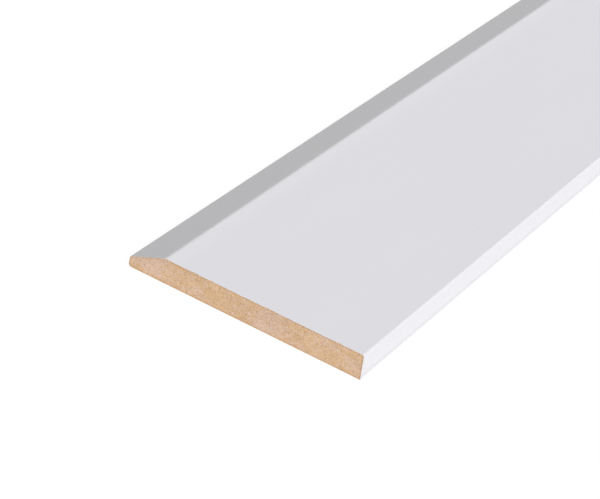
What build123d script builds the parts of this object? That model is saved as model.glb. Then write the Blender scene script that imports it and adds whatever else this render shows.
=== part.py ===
from build123d import *
import os

# Baseboard: one length of moulding milled from a single piece of fibreboard and primed white.
# It lies on its back with the face up, all sizes in millimetres.
# +X runs across the board from the bevelled edge, which is uppermost on a wall,
# to the square edge, which stands on the floor. +Y runs along the length, +Z points out of the face.
# The origin is in the middle of the back, so the back lies on the plane Z = 0.

# Stock size
thickness = 15.0
height_on_wall = 144.0
length = 2400.0

# Bevelled edge: a flat slope from the face down to a narrow nose, which stands upright
# to nose_upright above the back and leans in towards the face by nose_lean above that
bevel_width = 22.5
nose_thickness = 6.3
nose_upright = 3.0
nose_lean = 0.5

# Roundings that the cutter and the sander leave along the edges
bevel_to_face_radius = 7.0
nose_front_radius = 1.0
nose_bend_radius = 8.0
nose_back_radius = 1.7
square_edge_face_radius = 1.1
square_edge_back_radius = 0.4

# Lines of the section that the roundings and the length are laid out from
nose_x = -height_on_wall / 2
square_edge_x = height_on_wall / 2
bevel_end_x = nose_x + bevel_width

# Section with sharp corners, named as they are met going round from the nose
nose_back = (nose_x, 0)
nose_bend = (nose_x, nose_upright)
nose_front = (nose_x + nose_lean, nose_thickness)
bevel_top = (bevel_end_x, thickness)
square_edge_front = (square_edge_x, thickness)
square_edge_back = (square_edge_x, 0)


def corner(section, place):
    """The vertex of the section that lies at a named corner."""
    return section.vertices().sort_by_distance((place[0], place[1], 0))[0]


def moulding_section():
    """The section across the board, drawn in the XY plane with its thickness along Y."""
    outline = Polyline(
        nose_back,
        nose_bend,
        nose_front,
        bevel_top,
        square_edge_front,
        square_edge_back,
        close=True,
    )
    section = make_face(outline)
    section = fillet(corner(section, bevel_top), bevel_to_face_radius)
    section = fillet(corner(section, nose_front), nose_front_radius)
    section = fillet(corner(section, nose_bend), nose_bend_radius)
    section = fillet(corner(section, nose_back), nose_back_radius)
    section = fillet(corner(section, square_edge_front), square_edge_face_radius)
    section = fillet(corner(section, square_edge_back), square_edge_back_radius)
    return section


def baseboard():
    """The section run along the whole length, with a square saw cut at each end."""
    upright = Plane.XZ * moulding_section()
    return extrude(upright, amount=length / 2, both=True)


os.makedirs("parts", exist_ok=True)
export_step(baseboard(), "parts/baseboard.step")
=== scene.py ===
# %% [markdown]
# A primed baseboard, dressed in Blender
#
# The object is one length of moulding: a strip of fibreboard with a bevel along one long edge,
# coated with white primer, and sawn square and bare at its ends. It lies on its back. The packed
# model gives its exact size and place, and this lesson gives it the surfaces that a hand and an
# eye would find on the real one.
#
# The first cell loads the imported model and keeps its box, from which the dressed board takes
# its sizes.

# %% Load the frame
from math import pi, radians, sin, tan

import bmesh
import bpy
import numpy as np
from mathutils import Matrix, Vector, kdtree, noise


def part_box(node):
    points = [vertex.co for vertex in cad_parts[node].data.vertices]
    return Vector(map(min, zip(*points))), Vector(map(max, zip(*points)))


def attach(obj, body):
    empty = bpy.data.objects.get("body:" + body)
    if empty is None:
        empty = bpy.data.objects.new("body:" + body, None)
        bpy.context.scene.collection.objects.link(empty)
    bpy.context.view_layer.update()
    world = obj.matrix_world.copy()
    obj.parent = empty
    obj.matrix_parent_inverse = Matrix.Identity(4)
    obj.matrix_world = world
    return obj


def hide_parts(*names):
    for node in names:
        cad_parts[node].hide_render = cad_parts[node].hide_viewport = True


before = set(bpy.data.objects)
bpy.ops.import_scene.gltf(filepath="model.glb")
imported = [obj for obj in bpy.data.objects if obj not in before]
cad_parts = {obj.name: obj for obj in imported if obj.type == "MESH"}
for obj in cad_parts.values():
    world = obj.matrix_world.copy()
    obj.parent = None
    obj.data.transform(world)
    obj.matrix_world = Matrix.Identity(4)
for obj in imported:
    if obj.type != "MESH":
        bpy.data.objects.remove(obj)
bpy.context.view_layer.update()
MM = 0.001

low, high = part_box("baseboard")
print("the board measures", [round(side / MM, 1) for side in high - low], "mm")

# %% [markdown]
# The camera stands in front of the near end, above it and to the right, and looks down along the
# board. Its place is easiest to read as a point that it aims at, a distance, and three turns:
# azimuth round the board, elevation above the floor, and a small roll about its own line of
# sight. Three rotation matrices, multiplied in that order, give it without any tracking
# constraint. A long lens keeps the long edges nearly parallel, as a product picture does.

# %% Camera
aim_at = Vector((-3.35, -1143.96, 15.0)) * MM
camera_distance = 1011.3 * MM
camera_azimuth, camera_elevation, camera_roll = radians(29.416), radians(33.030), radians(7.98)
focal_length, sensor_width = 115.87, 36.0


def put_in_scene(name, data):
    """A new object made from data, linked to the scene."""
    thing = bpy.data.objects.new(name, data)
    bpy.context.scene.collection.objects.link(thing)
    return thing


turn = (
    Matrix.Rotation(camera_azimuth, 4, "Z")
    @ Matrix.Rotation(pi / 2 - camera_elevation, 4, "X")
    @ Matrix.Rotation(camera_roll, 4, "Z")
)
lens = bpy.data.cameras.new("camera")
lens.lens, lens.sensor_width = focal_length, sensor_width
camera = put_in_scene("camera", lens)
camera.matrix_world = Matrix.Translation(aim_at + turn @ Vector((0, 0, camera_distance))) @ turn
bpy.context.scene.camera = camera
bpy.context.scene.view_settings.view_transform = "Standard"
print("the camera stands at", [round(c / MM) for c in camera.matrix_world.translation], "mm")

# %% [markdown]
# A material in Blender is a net of nodes, and long nets are hard to read. Here a small class
# wraps the output of a node, so that a formula can be written as Python: a + b adds a Math node,
# and so does 1 - mask, because each kind of sum works in both orders.

# %% Formulas that become nodes
class Value:
    """An output of a node. Sums written on it become Math nodes in the same tree."""

    def __init__(self, recipe, socket):
        self.recipe, self.socket = recipe, socket

    def math(self, operation, *inputs):
        return self.recipe.node("ShaderNodeMath", {"operation": operation}, dict(enumerate(inputs)))

    def __add__(self, other):
        return self.math("ADD", self, other)

    def __sub__(self, other):
        return self.math("SUBTRACT", self, other)

    def __rsub__(self, other):
        return self.math("SUBTRACT", other, self)

    def __mul__(self, other):
        return self.math("MULTIPLY", self, other)

    __radd__, __rmul__ = __add__, __mul__

    def at_least(self, other):
        return self.math("MAXIMUM", self, other)

    def at_most(self, other):
        return self.math("MINIMUM", self, other)

    def ramp(self, start, end):
        """0 where the value is at start, 1 where it is at end, and an eased line in between."""
        return self.recipe.node(
            "ShaderNodeMapRange",
            {"interpolation_type": "SMOOTHSTEP"},
            {"Value": self, "From Min": start, "From Max": end},
        )

    def output(self, name):
        """Another output of the same node."""
        return Value(self.recipe, self.socket.node.outputs[name])


print("sums on a value become Math nodes")

# %% [markdown]
# Every other node comes from one method of a recipe, which takes the node's type, its settings
# and what goes into its sockets. A setting can change which sockets a node has, so settings go
# first. The other methods give names to the few small nets that the finishes of a board share:
# noise that is measured in millimetres, flecks, mixed and tinted colours, and the closing shader.

# %% Recipes
class Recipe:
    """The node tree of a material or of the world, filled node by node."""

    def __init__(self, owner):
        owner.use_nodes = True
        self.tree = owner.node_tree
        self.tree.nodes.clear()

    def node(self, kind, settings=None, sockets=None):
        """Adds a node and gives its first output that is in use."""
        made = self.tree.nodes.new(kind)
        for name, setting in (settings or {}).items():
            setattr(made, name, setting)
        for name, value in (sockets or {}).items():
            socket = made.inputs[name] if isinstance(name, int) else self.open_socket(made, name)
            if isinstance(value, Value):
                self.tree.links.new(value.socket, socket)
            else:
                socket.default_value = (*value, 1.0) if socket.type == "RGBA" else value
        shown = [socket for socket in made.outputs if socket.enabled]
        return Value(self, shown[0]) if shown else None

    def open_socket(self, made, name):
        """The socket of that name that the node's settings leave in use."""
        return next(socket for socket in made.inputs if socket.name == name and socket.enabled)

    def place(self, size, ahead=0.0):
        """Where a point lies, in steps of size millimetres each way, moved ahead along Y."""
        steps = [1 / (side * MM) for side in size]
        here = self.node("ShaderNodeTexCoord").output("Object")
        sockets = {0: here, 1: steps, 2: (0, ahead, 0)}
        return self.node("ShaderNodeVectorMath", {"operation": "MULTIPLY_ADD"}, sockets)

    def across_and_up(self):
        """How far a point lies from the middle of the board and above its back, in millimetres."""
        across = self.node("ShaderNodeSeparateXYZ", None, {"Vector": self.place((1, 1, 1))})
        return across, across.output("Z")

    def blotches(self, size, detail=2.0, roughness=0.5, ahead=0.0):
        """Cloudy noise about 0, mostly within 0.5 of it, its blotches about size millimetres."""
        sockets = {
            "Vector": self.place(size, ahead),
            "Scale": 1.0,
            "Detail": detail,
            "Roughness": roughness,
        }
        return self.node("ShaderNodeTexNoise", None, sockets) * 2 - 1

    def flecks(self, size, spread, chosen):
        """Round flecks, one in some cells of size millimetres: 1 in a fleck and 0 outside."""
        place = self.place(size)
        cells = self.node("ShaderNodeTexVoronoi", None, {"Vector": place, "Scale": 1.0})
        lot = self.node("ShaderNodeSeparateColor", None, {"Color": cells.output("Color")})
        return (1 - cells.ramp(*spread)) * lot.ramp(*chosen)

    def stored(self, name):
        """A number that is stored with the points of the mesh."""
        return self.node("ShaderNodeAttribute", {"attribute_name": name}).output("Fac")

    def blend(self, amount, first, second):
        """Two colours mixed by an amount from 0 to 1."""
        sockets = {"Factor": amount, "A": first, "B": second}
        return self.node("ShaderNodeMix", {"data_type": "RGBA"}, sockets)

    def tint(self, colour, strength):
        """A colour made lighter or darker by a value."""
        sockets = {0: colour, "Scale": strength}
        return self.node("ShaderNodeVectorMath", {"operation": "SCALE"}, sockets)

    def filtered(self, colour, by):
        """A colour multiplied by another, as light is by a coloured glass."""
        return self.node("ShaderNodeVectorMath", {"operation": "MULTIPLY"}, {0: colour, 1: by})

    def finish(self, colour, roughness, height, gloss):
        """Ends the recipe in one Principled shader. height is the relief in millimetres."""
        relief = {"Height": height * MM, "Distance": 1.0, "Strength": 1.0}
        bump = self.node("ShaderNodeBump", None, relief)
        sockets = {
            "Base Color": colour,
            "Roughness": roughness,
            "Specular IOR Level": gloss,
            "Normal": bump,
        }
        shader = self.node("ShaderNodeBsdfPrincipled", None, sockets)
        self.node("ShaderNodeOutputMaterial", None, {"Surface": shader})


print("a recipe adds a node for every formula written on its values")

# %% [markdown]
# The light is a plain studio. The world is soft light from all round, and it shows as white to
# the camera and in reflections. One broad lamp stands high on the right and towards the near
# end: the square edge faces it and is brightest, the face comes next, and the bevel turns away
# from it and is a shade darker, although all three have the same white coat. A sun lamp with a
# wide angle is the simplest broad light, because it is as strong at one end of a long board as
# at the other.

# %% World and lamp
ambient_strength = 0.288
lamp_strength = 1.262 * pi
lamp_angle = radians(45)
towards_lamp = Vector((0.850, -0.650, 0.675))
pure_white = [1.0] * 3


def seen_ray(recipe):
    """1 for rays from the camera, and for those that a gloss or a glass sends on, else 0."""
    path = recipe.node("ShaderNodeLightPath")
    seen = path.output("Is Camera Ray").at_least(path.output("Is Glossy Ray"))
    return seen.at_least(path.output("Is Transmission Ray"))


world = bpy.data.worlds.new("studio")
bpy.context.scene.world = world
recipe = Recipe(world)
lit_by = {"Color": pure_white, "Strength": ambient_strength}
seen_as = {"Color": pure_white, "Strength": 1.0}
around = recipe.node("ShaderNodeBackground", None, lit_by)
backdrop = recipe.node("ShaderNodeBackground", None, seen_as)
sky = recipe.node("ShaderNodeMixShader", None, {0: seen_ray(recipe), 1: around, 2: backdrop})
recipe.node("ShaderNodeOutputWorld", None, {"Surface": sky})

lamp = bpy.data.lights.new("broad_lamp", "SUN")
lamp.energy, lamp.angle = lamp_strength, lamp_angle
lamp_stand = put_in_scene("broad_lamp", lamp)
lamp_stand.rotation_euler = towards_lamp.to_track_quat("Z", "Y").to_euler()
print("one lamp of strength", round(lamp_strength, 2), "in a world of", ambient_strength)

# %% [markdown]
# The floor is a pale matt sheet. To the camera most of it glows white by itself, so that the
# ground stays white without more light on the board, and the rest is lit, so that a soft shadow
# stays. It is clear from underneath, which lets a camera below it see the board's back.

# %% Floor
floor_below_board = 0.05 * MM
floor_side = 40.0
floor_glow, floor_lit = 0.94, 0.08
floor_paleness = 0.36

floor_finish = bpy.data.materials.new("pale_floor")
recipe = Recipe(floor_finish)
matt = recipe.node("ShaderNodeBsdfDiffuse", None, {"Color": [floor_paleness] * 3})
glow = recipe.node("ShaderNodeEmission", None, {"Strength": floor_glow})
dim = recipe.node("ShaderNodeBsdfDiffuse", None, {"Color": [floor_lit] * 3})
shown = recipe.node("ShaderNodeAddShader", None, {0: glow, 1: dim})
from_above = recipe.node("ShaderNodeMixShader", None, {0: seen_ray(recipe), 1: matt, 2: shown})
below = recipe.node("ShaderNodeNewGeometry").output("Backfacing")
clear = recipe.node("ShaderNodeBsdfTransparent")
surface = recipe.node("ShaderNodeMixShader", None, {0: below, 1: from_above, 2: clear})
recipe.node("ShaderNodeOutputMaterial", None, {"Surface": surface})

half = floor_side / 2
floor_level = low.z - floor_below_board
corners = [(-half, -half), (half, -half), (half, half), (-half, half)]
floor_mesh = bpy.data.meshes.new("floor")
floor_mesh.from_pydata([(x, y, floor_level) for x, y in corners], [], [(0, 1, 2, 3)])
floor_mesh.materials.append(floor_finish)
floor = put_in_scene("floor", floor_mesh)
print("a floor of", floor_side, "m")

# %% [markdown]
# Every part of the board's shape comes from its section. Six sharp corners give the flats, and
# each corner is then turned into an arc that touches both of its sides: a large one where the
# bevel meets the face, a crisp front corner, a slight bend and a rounded back corner on the
# nose, and very small ones along the square edge. An arc is kept as its points and the direction
# that the surface faces at each, because exact directions make a rounding shine evenly, however
# few points it has.

# %% Sizes of the section
bevel_width = 22.5 * MM
nose_thickness = 6.3 * MM
nose_upright = 3.0 * MM
nose_lean = 0.5 * MM
nose_back_radius = 1.7 * MM
nose_bend_radius = 8.0 * MM
nose_front_radius = 1.0 * MM
bevel_to_face_radius = 7.0 * MM
square_edge_face_radius = 1.1 * MM
square_edge_back_radius = 0.4 * MM

nose_back = Vector((low.x, low.z))
nose_bend = Vector((low.x, low.z + nose_upright))
nose_front = Vector((low.x + nose_lean, low.z + nose_thickness))
bevel_top = Vector((low.x + bevel_width, high.z))
square_front = Vector((high.x, high.z))
square_back = Vector((high.x, low.z))
print("the bevel slopes down over", round((bevel_top - nose_front).length / MM, 2), "mm")

# %% The rounded corners
def arc(before, corner, after, radius, facets):
    """Points of the arc that rounds a corner, met clockwise, and the direction each one faces."""
    to_before, to_after = (before - corner).normalized(), (after - corner).normalized()
    half_angle = to_before.angle(to_after) / 2
    centre = corner + (to_before + to_after).normalized() * (radius / sin(half_angle))
    start = (corner + to_before * (radius / tan(half_angle)) - centre) / radius
    sweep = pi - 2 * half_angle
    facing = [Matrix.Rotation(-sweep * step / facets, 2) @ start for step in range(facets + 1)]
    return np.array([centre + radius * way for way in facing]), np.array(facing)


nose_back_arc = arc(square_back, nose_back, nose_bend, nose_back_radius, facets=12)
nose_bend_arc = arc(nose_back, nose_bend, nose_front, nose_bend_radius, facets=4)
nose_front_arc = arc(nose_bend, nose_front, bevel_top, nose_front_radius, facets=8)
bevel_arc = arc(nose_front, bevel_top, square_front, bevel_to_face_radius, facets=12)
square_front_arc = arc(bevel_top, square_front, square_back, square_edge_face_radius, facets=8)
square_back_arc = arc(square_front, square_back, nose_back, square_edge_back_radius, facets=4)
face_start, face_end = bevel_arc[0][-1], square_front_arc[0][0]
print("the face is flat from", round(face_start[0] / MM, 2), "to", round(face_end[0] / MM, 2), "mm")

# %% [markdown]
# The sawn end has to carry real relief, so it needs a fine net of small faces, and the net has
# to end exactly on the rounded outline. A net of four sides can do that: the outline is cut in
# the middle of its four outer roundings into a left, a top, a right and a bottom side, with as
# many steps in one side as in the one opposite. Every point inside is blended from the four, as
# in a sheet of rubber stretched in a frame.

# %% Stretches of the outline
net_step = 0.36 * MM
steps_up = round((high.z - low.z) / net_step)


def flat(start, end, steps):
    """The points inside a straight stretch, without its ends, and the direction they face."""
    share = np.linspace(0, 1, steps + 1)[1:-1, None]
    along = (end - start) / np.linalg.norm(end - start)
    return start + share * (end - start), np.tile([-along[1], along[0]], (steps - 1, 1))


def joined(*stretches):
    """Stretches laid end to end, as one list of points and one of directions."""
    return tuple(np.concatenate([stretch[part] for stretch in stretches]) for part in (0, 1))


def first_half(rounding):
    """An arc up to its middle point."""
    return tuple(part[: len(part) // 2 + 1] for part in rounding)


def second_half(rounding):
    """An arc from its middle point on."""
    return tuple(part[len(part) // 2 :] for part in rounding)


def steps_in(*stretches):
    """How many steps there are from point to point in these stretches."""
    return sum(len(stretch[0]) - 1 for stretch in stretches)


def steps_for(start, end):
    """How many steps of the net fit between two points."""
    return round(np.linalg.norm(end - start) / net_step)


print("the net has", steps_up, "steps from the back to the face")

# %% The four sides of the sawn end
nose_lower, nose_upper = second_half(nose_back_arc), first_half(nose_front_arc)
nose_steps = steps_up - steps_in(nose_lower, nose_bend_arc, nose_upper)
upright_steps = nose_steps // 4
nose_side = joined(
    nose_lower,
    flat(nose_back_arc[0][-1], nose_bend_arc[0][0], upright_steps),
    nose_bend_arc,
    flat(nose_bend_arc[0][-1], nose_front_arc[0][0], nose_steps - upright_steps),
    nose_upper,
)
bevel_start, bevel_end = nose_front_arc[0][-1], bevel_arc[0][0]
top_side = joined(
    second_half(nose_front_arc),
    flat(bevel_start, bevel_end, steps_for(bevel_start, bevel_end)),
    bevel_arc,
    flat(face_start, face_end, steps_for(face_start, face_end)),
    first_half(square_front_arc),
)
edge_upper, edge_lower = second_half(square_front_arc), first_half(square_back_arc)
square_steps = steps_up - steps_in(edge_upper, edge_lower)
square_side = joined(
    edge_upper,
    flat(square_front_arc[0][-1], square_back_arc[0][0], square_steps),
    edge_lower,
)
steps_across = steps_in(top_side)
back_first, back_last = second_half(square_back_arc), first_half(nose_back_arc)
back_steps = steps_across - steps_in(back_first, back_last)
back_side = joined(
    back_first,
    flat(square_back_arc[0][-1], nose_back_arc[0][0], back_steps),
    back_last,
)
print("the net of a sawn end has", steps_across, "by", steps_up, "faces")

# %% [markdown]
# With its sides in order the net is one formula. The outline goes clockwise, so two of the sides
# are turned round first. What comes out is a table of places, with a row for each step up and a
# column for each step across.

# %% The net between the sides
def share_along(points):
    """How far along its side each point lies, from 0 to 1."""
    steps = np.linalg.norm(np.diff(points, axis=0), axis=1)
    return np.concatenate([[0], np.cumsum(steps)]) / steps.sum()


left, top = nose_side[0], top_side[0]
right, bottom = square_side[0][::-1], back_side[0][::-1]
u = share_along(bottom)[None, :, None]
v = share_along(right)[:, None, None]
between_top_and_bottom = (1 - v) * bottom[None] + v * top[None]
between_left_and_right = (1 - u) * left[:, None] + u * right[:, None]
along_the_bottom = (1 - u) * bottom[0] + u * bottom[-1]
along_the_top = (1 - u) * top[0] + u * top[-1]
counted_twice = (1 - v) * along_the_bottom + v * along_the_top
net = between_top_and_bottom + between_left_and_right - counted_twice
print("net of", net.shape[1], "by", net.shape[0], "points")

# %% [markdown]
# The saw leaves the end of a fibreboard slightly rough. The two faces of the board are pressed
# denser than its core, so they cut clean, and between them the fibres tear in small pits. A saw
# blade also leaves faint curved lines. All this lies inside the end plane, by hundredths of a
# millimetre and two tenths at the deepest, so that the board keeps its length.
#
# Along the arris the brittle coat breaks away in small chips. They are made by pulling the
# points of the outline inwards along the board, but not along the back, which has no coat to
# lose. Blender's own Perlin noise gives all of it, and it is the same on every run.

# %% Relief of the sawn ends
saw_line_depth = 0.006 * MM
saw_line_pitch = 1.7 * MM
blade_radius = 130 * MM
wave_depth = 0.035 * MM
wave_size = 3.2 * MM
tear_depth = 0.30 * MM
tear_size = 0.95 * MM
tear_share = 0.30
dense_layer = 1.6 * MM
torn_least = 0.15
chip_depth = 0.55 * MM
chip_size = 1.9 * MM
chip_share = 0.20
bare_rim = 1.2 * MM
near_seed, far_seed = 3.5, 53.5
tear_seed, chip_seed = 7, 17


def perlin(points, size, seed):
    """Blender's noise at points of the section, with lumps of about the given size."""
    return np.array([noise.noise(Vector((x / size, z / size, seed))) for x, z in points])


def relief(places, seed):
    """How far each point of a sawn end lies behind the end plane."""
    points = places.reshape(-1, 2)
    x, z = points.T
    from_a_face = np.minimum(z - low.z, high.z - z)
    in_the_core = np.clip(from_a_face / dense_layer, torn_least, 1)
    waves = wave_depth * (0.5 + 0.5 * perlin(points, wave_size, seed))
    pits = np.maximum(0, perlin(points, tear_size, seed + tear_seed) - tear_share)
    from_axle = np.hypot(x - low.x, z - low.z + blade_radius)
    saw_lines = saw_line_depth * (1 + np.sin(2 * pi * from_axle / saw_line_pitch))
    return (waves + tear_depth * pits * in_the_core + saw_lines).reshape(places.shape[:2])


def chips(points, seed):
    """How far the coat has broken away along the arris. The bare back has none to lose."""
    coated = np.clip((points[:, 1] - low.z) / bare_rim, 0, 1)
    broken = np.maximum(0, perlin(points, chip_size, seed + chip_seed) - chip_share)
    return chip_depth * coated * broken


near_relief, far_relief = relief(net, near_seed), relief(net, far_seed)
mean_depth, most_depth = float(near_relief.mean()) / MM, float(near_relief.max()) / MM
print("the near end is", round(mean_depth, 3), "mm deep in the mean,")
print("and", round(most_depth, 3), "mm at most")

# %% [markdown]
# The board is one closed skin: a net at each end and the long faces between them. The long faces
# need no fine net. Along them go a few straight rings, with points only where the outline turns,
# and at each end a flat face becomes one polygon with a straight side and a side that follows
# the net. All points are listed first, and the faces then name them by number.

# %% Points of the skin
rows, columns = net.shape[:2]
net_points = rows * columns
number = np.arange(net_points).reshape(rows, columns)
rim = np.concatenate([number[:, 0], number[-1, 1:], number[-2::-1, -1], number[0, -2:0:-1]])
rim_places = net.reshape(-1, 2)[rim]
later_sides = [(side[0][1:], side[1][1:]) for side in (top_side, square_side, back_side)]
outline = joined(nose_side, *later_sides)
rim_facing = outline[1][:-1]

ring_gap = 100 * MM
end_band = 4 * MM
ring_places = np.arange(low.y + ring_gap, high.y - ring_gap / 2, ring_gap)
ring_places = np.concatenate([[low.y + end_band], ring_places, [high.y - end_band]])

least_turn = 1e-4
turns = np.linalg.norm(rim_facing - np.roll(rim_facing, 1, axis=0), axis=1) > least_turn
turns |= np.roll(turns, -1)
kept = np.flatnonzero(turns)


def sawn_end(end_y, inwards, relief_depths, seed):
    """The points of one sawn end, with its relief and its chipped arris."""
    depths = relief_depths.reshape(-1).copy()
    depths[rim] = chips(rim_places, seed)
    flat_net = net.reshape(-1, 2)
    return np.column_stack([flat_net[:, 0], end_y + inwards * depths, flat_net[:, 1]])


near_end = sawn_end(low.y, 1, near_relief, near_seed)
far_end = sawn_end(high.y, -1, far_relief, far_seed)
rings = [np.insert(rim_places[kept], 1, ring_y, axis=1) for ring_y in ring_places]
points = np.concatenate([near_end, far_end, *rings])
print(len(rim), "points round the end,", len(kept), "of them kept along the board")

# %% Faces of the skin
quad_corners = [number[:-1, :-1], number[:-1, 1:], number[1:, 1:], number[1:, :-1]]
net_quads = np.stack(quad_corners, axis=-1).reshape(-1, 4)
near_rim, far_rim = rim, rim + net_points
first_ring = 2 * net_points
faces = [tuple(quad) for quad in net_quads]
faces += [tuple(quad[::-1] + net_points) for quad in net_quads]
end_faces = len(faces)


def steps_between(start, end):
    """Steps round the rim from one kept point to the next. They count on past a whole turn."""
    return list(range(start, end + 1 if end > start else end + len(rim) + 1))


long_faces = []
ring_starts = [first_ring + ring * len(kept) for ring in range(len(ring_places))]
for index, start in enumerate(kept):
    after = (index + 1) % len(kept)
    steps = steps_between(start, kept[after])
    ends = [steps[0], steps[-1]]
    near_side = [near_rim[step % len(rim)] for step in steps]
    far_side = [far_rim[step % len(rim)] for step in steps]
    on_first_ring = [ring_starts[0] + after, ring_starts[0] + index]
    on_last_ring = [ring_starts[-1] + index, ring_starts[-1] + after]
    long_faces.append((near_side + on_first_ring, steps + ends[::-1]))
    for here, there in zip(ring_starts, ring_starts[1:]):
        quad = [here + index, here + after, there + after, there + index]
        long_faces.append((quad, ends + ends[::-1]))
    long_faces.append((on_last_ring + far_side[::-1], ends + steps[::-1]))

faces += [tuple(int(point) for point in face) for face, steps in long_faces]
mesh = bpy.data.meshes.new("baseboard_dressed")
mesh.from_pydata(points.tolist(), [], faces, shade_flat=False)
board = put_in_scene("baseboard_dressed", mesh)
whole = bmesh.new()
whole.from_mesh(mesh)
open_edges = sum(not edge.is_manifold for edge in whole.edges)
print("the skin holds", round(whole.calc_volume(signed=True) * 1000, 3), "litres")
print("it has", len(points), "points, and", open_edges, "of its edges are open")
whole.free()

# %% [markdown]
# Light reads a surface by its normals. Left to itself Blender would bend the shading where a
# wide flat meets a narrow rounding. The directions kept with the outline are exact, so every
# corner of a long face is given its own. A zero direction leaves a corner to Blender, which
# suits the sawn ends, and the edge round each end is marked sharp, so that the two do not mix.

# %% Directions of the surface
edge_points = np.empty(len(mesh.edges) * 2, int)
mesh.edges.foreach_get("vertices", edge_points)
on_a_rim = np.isin(edge_points.reshape(-1, 2), np.concatenate([near_rim, far_rim])).all(axis=1)
sharp = mesh.attributes.new("sharp_edge", "BOOLEAN", "EDGE")
sharp.data.foreach_set("value", on_a_rim)

rim_directions = np.insert(rim_facing, 1, 0.0, axis=1)
facing = [(0.0, 0.0, 0.0)] * (4 * end_faces)
for face, steps in long_faces:
    facing += [tuple(rim_directions[step % len(rim)]) for step in steps]
mesh.normals_split_custom_set(facing)
print(int(on_a_rim.sum()), "sharp edges and", len(facing) - 4 * end_faces, "exact directions")

# %% [markdown]
# A finish that follows the build of the board needs to know where it is in it. Two numbers are
# stored with each point, in millimetres: how deep the point lies under the coated outside, and
# how far behind the end plane. A k-d tree finds the nearest point of the coated outline quickly.
# Where the arris has chipped, the coat is gone, so the point is counted as lying deeper.

# %% Numbers stored with the points
bared_by_chip = 2
coated_steps = len(outline[0]) - len(back_side[0])
coated_outline = kdtree.KDTree(coated_steps + 1)
for index, place in enumerate(outline[0][: coated_steps + 1]):
    coated_outline.insert((*place, 0), index)
coated_outline.balance()
under_coat = np.array([coated_outline.find((*place, 0))[2] for place in net.reshape(-1, 2)])


def store(name, near_values, far_values):
    """Stores a number with each point of the two ends, and 0 with the points between them."""
    values = np.zeros(len(points))
    values[:net_points] = near_values / MM
    values[net_points:first_ring] = far_values / MM
    mesh.attributes.new(name, "FLOAT", "POINT").data.foreach_set("value", values)


near_depths, far_depths = near_end[:, 1] - low.y, high.y - far_end[:, 1]
near_under, far_under = under_coat.copy(), under_coat.copy()
near_under[rim] += bared_by_chip * near_depths[rim]
far_under[rim] += bared_by_chip * far_depths[rim]
store("under_coat", near_under, far_under)
store("behind_cut", near_depths, far_depths)
longest_chip = float(near_depths[rim].max()) / MM
print("chips reach", round(longest_chip, 2), "mm along the board at the near end")

# %% [markdown]
# A picture that is baked from these finishes needs a map: a place on a square picture for every
# face. The board is nearly seventeen times as long as it is wide, so its unrolled skin is cut
# into three strips, laid one above the other, and each sawn end gets a strip of its own at a
# larger scale, because its grain is finer than anything on the coat.

# %% Bake map
picture_side = 1024
margin, side_margin = 4, 12
strip_count = 3
strip_wide, strip_high = 1000, 282
end_wide, end_high = 1000, 75

laps = np.concatenate([[0], np.cumsum(np.linalg.norm(np.diff(outline[0], axis=0), axis=1))])
strip_length = (high.y - low.y) / strip_count


def on_end(point, row):
    """Place on the picture of a point of a sawn end."""
    across = (point[0] - low.x) / (high.x - low.x)
    up = (point[2] - low.z) / (high.z - low.z)
    start = margin + strip_count * (strip_high + margin) + row * (end_high + margin)
    return (side_margin + across * end_wide) / picture_side, (start + up * end_high) / picture_side


def on_strip(point, step, strip):
    """Place on the picture of a point of the long faces."""
    along = (point[1] - low.y) / strip_length - strip
    round_it = laps[step] / laps[-1]
    start = margin + strip * (strip_high + margin)
    right_by, up_by = side_margin + along * strip_wide, start + round_it * strip_high
    return right_by / picture_side, up_by / picture_side


places = []
for row in (0, 1):
    for face in faces[row * end_faces // 2 : (row + 1) * end_faces // 2]:
        places += [on_end(points[point], row) for point in face]
for face, steps in long_faces:
    strip = int((points[face, 1].mean() - low.y) / strip_length)
    places += [on_strip(points[point], step, strip) for point, step in zip(face, steps)]
places = np.array(places)
bake_map = mesh.uv_layers.new(name="OFBake")
bake_map.data.foreach_set("uv", places.ravel())
print("the map spans", places.min(axis=0).round(3), "to", places.max(axis=0).round(3))

# %% [markdown]
# The coat is a white primer, put on by the factory with rollers and a spray and sanded once
# along the board. It is not quite even: it is a little thicker here and there, the sanding
# leaves very fine lines, and on the milled bevel and edge the fibres stand up a little under it
# and make its white a shade warmer. Hardly any of this shows as colour from a step away. It
# shows in how the gloss breaks, so much of the recipe is relief of a few thousandths of a
# millimetre, and a roughness that drifts.
#
# Three faint lines run along the board, painted into the tone of the coat. Beside the bevel the
# face is made lighter, a painted sheen. Over the arris between the face and the square edge the
# coat is darker: partly a thin, worn coat, partly painted shade that takes back the highlight
# the lamp puts on the rounding. Just above its foot the square edge is darker, a painted shade
# where it meets the floor. Each line is a mask, made of ramps on how far across the board or how
# high above its back a point lies.

# %% How the coat varies
primer_white, milled_white = (0.747, 0.737, 0.775), (0.741, 0.737, 0.753)
bevel_fades = (0, 3)
edge_begins = (-1.2, -0.6)
sheen_rises, sheen_fades = (-0.5, 1.5), (2, 14)
foot_shade_rises, foot_shade_fades = (0.6, 2.0), (1.7, 4.2)
arris_crown = 0.62

primer = bpy.data.materials.new("white_primer")
recipe = Recipe(primer)
thickness_drift = recipe.blotches((45, 160, 45), detail=3)
pores = recipe.blotches((1.1, 1.4, 1.1), detail=3, roughness=0.6)
sanding = recipe.blotches((0.35, 24, 0.35))
orange_peel = recipe.blotches((2.6, 3.4, 2.6))

x, z = recipe.across_and_up()
past_bevel, past_edge = x - bevel_top.x / MM, x - high.x / MM
on_bevel = 1 - past_bevel.ramp(*bevel_fades)
on_square_edge = past_edge.ramp(*edge_begins)
# painted sheen: the face is made lighter in a band beside the bevel
sheen_by_bevel = past_bevel.ramp(*sheen_rises) * (1 - past_bevel.ramp(*sheen_fades))
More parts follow.
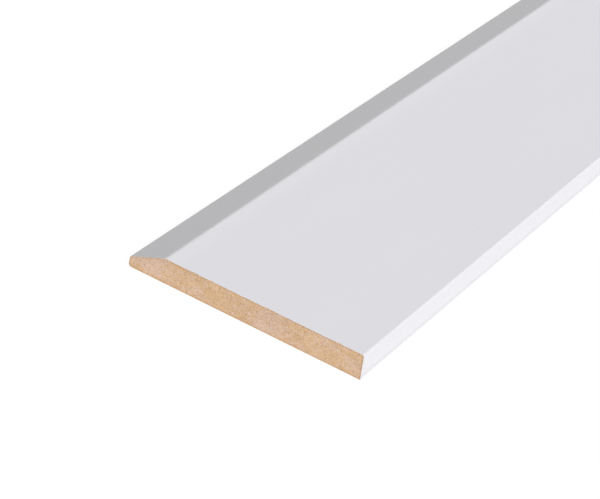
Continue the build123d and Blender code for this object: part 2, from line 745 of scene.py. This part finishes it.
# painted shade: the square edge is darker in a band just above its foot, where it meets the floor
foot_shade = on_square_edge * z.ramp(*foot_shade_rises) * (1 - (z + pores).ramp(*foot_shade_fades))
sharp_arris = (high.x + high.z) / MM
arris_radius = square_edge_face_radius / MM
# the arris is darker: partly a thin, worn coat, partly painted shade that takes back the lamp's
# highlight on the rounding
arris = (x + z).ramp(sharp_arris - arris_radius, sharp_arris - arris_crown * arris_radius)
print("four noises and five masks shape the coat")

# %% White primer
drift_tone, pore_tone, sanding_tone = 0.012, 0.006, 0.004
arris_wear_and_shade, arris_wear_and_shade_mottle = 0.12, 0.08
sheen_by_bevel_tone = 0.030
foot_shade_tone, foot_shade_mottle = 0.085, 0.06
pore_depth, fibre_depth, sanding_depth, peel_depth = 0.0015, 0.003, 0.0008, 0.004
coat_roughness, roughness_drift = 0.55, 0.05
coat_gloss = 0.12
edge_warmth = 0.5

tone = 1 + thickness_drift * drift_tone + pores * pore_tone + sanding * sanding_tone
tone = tone - arris * (arris_wear_and_shade + pores * arris_wear_and_shade_mottle)
# painted sheen beside the bevel, painted shade just above the foot of the square edge
tone = tone + sheen_by_bevel * sheen_by_bevel_tone - foot_shade * (foot_shade_tone + pores * foot_shade_mottle)
milled = on_bevel + on_square_edge
height = pores * (pore_depth + milled * fibre_depth) + sanding * sanding_depth
height = height + orange_peel * peel_depth
roughness = coat_roughness + (thickness_drift + pores + milled) * roughness_drift
white = recipe.blend(on_bevel + on_square_edge * edge_warmth, primer_white, milled_white)
recipe.finish(recipe.tint(white, tone), roughness, height, coat_gloss)
print("white_primer has", len(recipe.tree.nodes), "nodes")

# %% [markdown]
# Fibreboard is wood boiled to a felt and pressed. Cut through, it shows no grain: its colour
# wanders between a rosy and a golden tan and between lighter and darker over several
# millimetres, and fine fibres, lying along the board's faces, speckle it. Some bundles of fibres
# are rusty, and bits of bark make rare dark flecks. Near both faces the board is pressed harder
# and looks darker and warmer, and a hair-thin white line along its coated sides is the coat
# itself, cut through with the board.
#
# Noise fills all of space, and a cut shows one slice of it. Moving the noise along the board
# gives another slice at will, while its colours, sizes and contrast stay. The slices of the two
# broadest noises were chosen from many, as ones in which the broad clouds lie about where they
# do on the real board. The finer noises are left as they come.

# %% How the cut end varies
hue_slice, light_slice = 3113.95, 5123.65
pressed_layer, skin_layer = (0.3, 1.5), (0.3, 1.25)
coat_thickness, coat_edge, coat_wander = 0.13, 0.04, 0.12
rusty_ramp = (0.08, 0.38)
bark_spread, bark_chosen = (0.10, 0.26), (0.95, 0.97)

sawn = bpy.data.materials.new("sawn_fibreboard")
recipe = Recipe(sawn)
drift = recipe.blotches((17, 17, 11), detail=2.5, roughness=0.6, ahead=hue_slice)
felt = recipe.blotches((2.1, 1.9, 1.5), roughness=0.6)
cloud = recipe.blotches((13, 13, 8), detail=2.5, roughness=0.6, ahead=light_slice)
fibres = recipe.blotches((1.0, 0.9, 0.68), detail=3, roughness=0.65)
specks = recipe.blotches((0.55, 0.5, 0.4))
rusty = recipe.blotches((1.05, 1.0, 0.8)).ramp(*rusty_ramp)
bark = recipe.flecks((2.4, 2.4, 1.7), bark_spread, bark_chosen)

above_back = recipe.across_and_up()[1]
under_coat_at, behind_cut_at = recipe.stored("under_coat"), recipe.stored("behind_cut")
depth = under_coat_at.at_most(above_back)
pressed, skin = 1 - depth.ramp(*pressed_layer), 1 - depth.ramp(*skin_layer)
coat_ramp = (coat_thickness - coat_edge, coat_thickness + coat_edge)
coat = 1 - (under_coat_at + specks * coat_wander).ramp(*coat_ramp)
print("the coat shows as a line", coat_thickness, "mm wide")

# %% Sawn fibreboard
rosy_tan, golden_tan = (0.682, 0.494, 0.380), (0.667, 0.449, 0.264)
rusty_tan, pressed_brown = (0.800, 0.465, 0.270), (0.640, 0.405, 0.235)
bark_brown = (0.260, 0.170, 0.110)
darkest, lightest = (0.80, 0.74, 0.66), (1.20, 1.26, 1.34)
drift_hue, hue_ramp = 1.15, (-0.45, 0.45)
cloud_light, fibre_light, speck_light = 0.38, 1.12, 1.15
painted_pit_shade, skin_shade, middle_light = 1.5, 0.25, 0.53
rusty_most, pressed_most, bark_most = 0.72, 0.5, 0.6
fibre_height, speck_height = 0.02, 0.012
sawn_roughness, pressed_smoother, coat_smoother = 0.88, 0.15, 0.2
sawn_gloss = 0.25

hue = (drift * drift_hue + felt).ramp(*hue_ramp)
light = cloud * cloud_light + fibres * fibre_light + specks * speck_light
# painted shade in the recesses: the deeper a point lies behind the end plane, in pits and chips,
# the darker the wood
light = light - behind_cut_at * painted_pit_shade - skin * skin_shade + middle_light
wood = recipe.blend(hue, golden_tan, rosy_tan)
wood = recipe.blend(rusty * rusty_most, wood, rusty_tan)
wood = recipe.blend(pressed * pressed_most, wood, pressed_brown)
wood = recipe.filtered(wood, recipe.blend(light, darkest, lightest))
wood = recipe.blend(bark * bark_most, wood, bark_brown)
colour = recipe.blend(coat, wood, primer_white)
height = fibres * fibre_height + specks * speck_height
roughness = sawn_roughness - pressed * pressed_smoother - coat * coat_smoother
recipe.finish(colour, roughness, height, sawn_gloss)
print("sawn_fibreboard has", len(recipe.tree.nodes), "nodes")

# %% [markdown]
# The back stays bare. It was sanded flat on a wide belt before the board was milled, so it is
# smoother and more even than a saw cut, with fine straight scratches along the length and whole
# fibres lying in view. A little of the sprayed primer drifted round both long edges and fades
# out over some millimetres.

# %% Bare back
back_tan, back_brown = (0.590, 0.408, 0.262), (0.540, 0.362, 0.222)
patch_ramp = (-0.5, 0.5)
felt_tone, scratch_tone = 0.26, 0.06
felt_height, scratch_height = 0.006, 0.003
overspray_reach, overspray_mottle, overspray_most = 4.5, 3, 0.8
back_bark_spread, back_bark_chosen = (0.03, 0.09), (0.80, 0.84)
back_roughness, spray_smoother, felt_rougher = 0.78, 0.2, 0.05
back_gloss = 0.3

back = bpy.data.materials.new("sanded_back")
recipe = Recipe(back)
patches = recipe.blotches((40, 90, 40), detail=3)
felt = recipe.blotches((0.8, 2.2, 0.8), detail=4, roughness=0.7)
scratches = recipe.blotches((0.25, 60, 0.25))
mist = recipe.blotches((1.6, 2.4, 1.6), detail=4, roughness=0.7)
bark = recipe.flecks((5, 9, 5), back_bark_spread, back_bark_chosen)
x = recipe.across_and_up()[0]
from_edge = (x - low.x / MM).at_most(high.x / MM - x)
sprayed = 1 - (from_edge + mist * overspray_mottle).ramp(0, overspray_reach)
sprayed = sprayed * overspray_most

wood = recipe.blend(patches.ramp(*patch_ramp), back_tan, back_brown)
wood = recipe.tint(wood, 1 + felt * felt_tone + scratches * scratch_tone)
wood = recipe.blend(bark * bark_most, wood, bark_brown)
colour = recipe.blend(sprayed, wood, primer_white)
height = felt * felt_height + scratches * scratch_height
roughness = back_roughness - sprayed * spray_smoother + felt * felt_rougher
recipe.finish(colour, roughness, height, back_gloss)
print("sanded_back has", len(recipe.tree.nodes), "nodes")

# %% [markdown]
# The three finishes go on as material slots of the one skin, and each face says by number which
# slot it wears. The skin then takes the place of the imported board: it rides on the same body and
# is fitted to it by nothing else than having been made from the same sizes.

# %% Put the finishes on
white_slot, sawn_slot, back_slot = range(3)
for finish in (primer, sawn, back):
    mesh.materials.append(finish)
wears = [sawn_slot] * end_faces
wears += [back_slot if min(steps) >= coated_steps else white_slot for face, steps in long_faces]
mesh.polygons.foreach_set("material_index", wears)
mesh.update()
print("faces in white, sawn and back finish:", [wears.count(slot) for slot in range(3)])

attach(board, "root")
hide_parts("baseboard")
